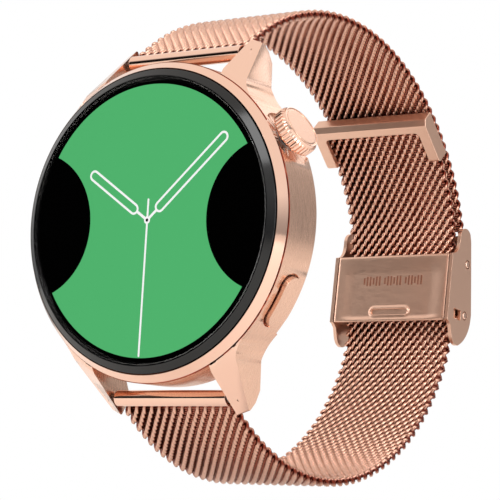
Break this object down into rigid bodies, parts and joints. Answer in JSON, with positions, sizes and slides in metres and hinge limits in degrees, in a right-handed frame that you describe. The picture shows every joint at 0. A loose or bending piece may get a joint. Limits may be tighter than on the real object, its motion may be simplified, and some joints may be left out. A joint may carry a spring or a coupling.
{
  "type": "smartwatch",
  "caption": "Round smartwatch with a knurled crown, a side button and a woven mesh bracelet closed by a fold-over hook clasp.",
  "frame": {"origin": "centre of the sensor window's outer face, on the case back", "axes": "+Y from the dial through the case to the wrist, +Z towards 12 o'clock, +X towards the crown's side"},
  "size_m": [0.0477, 0.0748, 0.0734],
  "materials": {
    "brushed_case": "rose-gold coated stainless steel, brushed around the dial's axis",
    "polished_trim": "rose-gold coated stainless steel, polished",
    "woven_steel": "rose-gold coated stainless steel wire, woven",
    "plain_steel": "bare stainless steel, satin",
    "bezel_black": "black ceramic-like ring, gloss",
    "cover_glass": "hardened cover glass, gloss",
    "display": "lit display, green figure on black",
    "sensor_glass": "dark infrared-clear glass, gloss",
    "black_plastic": "moulded, fine matt",
    "circuit_board": "solder-masked laminate",
    "battery_foil": "laminated foil pouch",
    "seal_rubber": "soft black seal",
    "contact_gold": "gold-plated, polished"
  },
  "bodies": {
    "case": {"case_body": "brushed_case", "front_ring": "polished_trim", "bezel_ring": "bezel_black", "cover_glass": "cover_glass", "display_panel": "display", "display_tray": "black_plastic", "main_board": "circuit_board", "battery": "battery_foil", "vibration_motor": "plain_steel", "speaker": "black_plastic", "back_gasket": "seal_rubber", "back_cover": "brushed_case", "sensor_window": "sensor_glass", "sensor_board": "circuit_board", "charging_pin_1": "contact_gold", "charging_pin_2": "contact_gold", "back_screw_1": "plain_steel", "back_screw_2": "plain_steel", "back_screw_3": "plain_steel", "back_screw_4": "plain_steel", "crown_bush": "plain_steel", "crown_switch": "black_plastic", "button_switch": "black_plastic"},
    "crown_push": {"crown_carrier": "plain_steel"},
    "crown": {"crown_head": "brushed_case", "crown_cap": "brushed_case", "crown_stem": "plain_steel", "crown_o_ring": "seal_rubber"},
    "button": {"side_button": "brushed_case", "button_plunger": "plain_steel", "button_seal": "seal_rubber"},
    "upper_strap": {"upper_strap_mesh": "woven_steel", "upper_end_tube": "polished_trim", "upper_spring_bar": "plain_steel", "upper_bar_spring": "plain_steel", "upper_end_bar": "brushed_case", "cover_hinge_pin": "plain_steel"},
    "upper_release": {"upper_release_pin": "plain_steel"},
    "lower_strap": {"lower_strap_mesh": "woven_steel", "lower_end_tube": "polished_trim", "lower_spring_bar": "plain_steel", "lower_bar_spring": "plain_steel", "strap_end_cap": "brushed_case"},
    "lower_release": {"lower_release_pin": "plain_steel"},
    "clasp": {"clasp_frame": "brushed_case", "clasp_catch_pin": "polished_trim", "clasp_cross_pin": "polished_trim", "lock_hinge_pin": "plain_steel"},
    "lock": {"lock_plate": "brushed_case"},
    "cover": {"clasp_cover": "brushed_case"}
  },
  "joints": [
    {"name": "crown_press", "type": "slide", "parent": "case", "child": "crown_push", "axis": [-0.866, 0, -0.5], "range_m": [0, 0.0005], "stiffness_N_per_m": 1500, "springref_m": -0.0005},
    {"name": "crown_turn", "type": "hinge", "parent": "crown_push", "child": "crown", "pos_m": [0.02078, -0.0057, 0.012], "axis": [0.866, 0, 0.5], "continuous": true},
    {"name": "button_press", "type": "slide", "parent": "case", "child": "button", "axis": [-0.866, 0, 0.5], "range_m": [0, 0.0004], "stiffness_N_per_m": 1500, "springref_m": -0.0005},
    {"name": "upper_strap_swing", "type": "hinge", "parent": "case", "child": "upper_strap", "pos_m": [0, -0.0033, 0.0251], "axis": [1, 0, 0], "range_deg": [0, 20]},
    {"name": "upper_release_slide", "type": "slide", "parent": "upper_strap", "child": "upper_release", "axis": [1, 0, 0], "range_m": [0, 0.0012], "stiffness_N_per_m": 400, "springref_m": -0.001, "deforming": ["upper_bar_spring"]},
    {"name": "clasp_cover_hinge", "type": "hinge", "parent": "upper_strap", "child": "cover", "pos_m": [0, 0.06235, 0.0043], "axis": [1, 0, 0], "range_deg": [0, 100]},
    {"name": "lower_strap_swing", "type": "hinge", "parent": "case", "child": "lower_strap", "pos_m": [0, -0.0033, -0.0251], "axis": [1, 0, 0], "range_deg": [-12, 0]},
    {"name": "lower_release_slide", "type": "slide", "parent": "lower_strap", "child": "lower_release", "axis": [1, 0, 0], "range_m": [0, 0.0012], "stiffness_N_per_m": 400, "springref_m": -0.001, "deforming": ["lower_bar_spring"]},
    {"name": "clasp_slide", "type": "slide", "parent": "lower_strap", "child": "clasp", "axis": [0, 0, 1], "range_m": [-0.001, 0.0008]},
    {"name": "lock_plate_hinge", "type": "hinge", "parent": "clasp", "child": "lock", "pos_m": [0, 0.05705, 0.0019], "axis": [1, 0, 0], "range_deg": [-55, 0]}
  ],
  "couplings": [
    {"joint": "clasp_cover_hinge", "follows": "upper_strap_swing", "ratio": 5},
    {"joint": "lower_strap_swing", "follows": "upper_strap_swing", "ratio": -0.6}
  ]
}
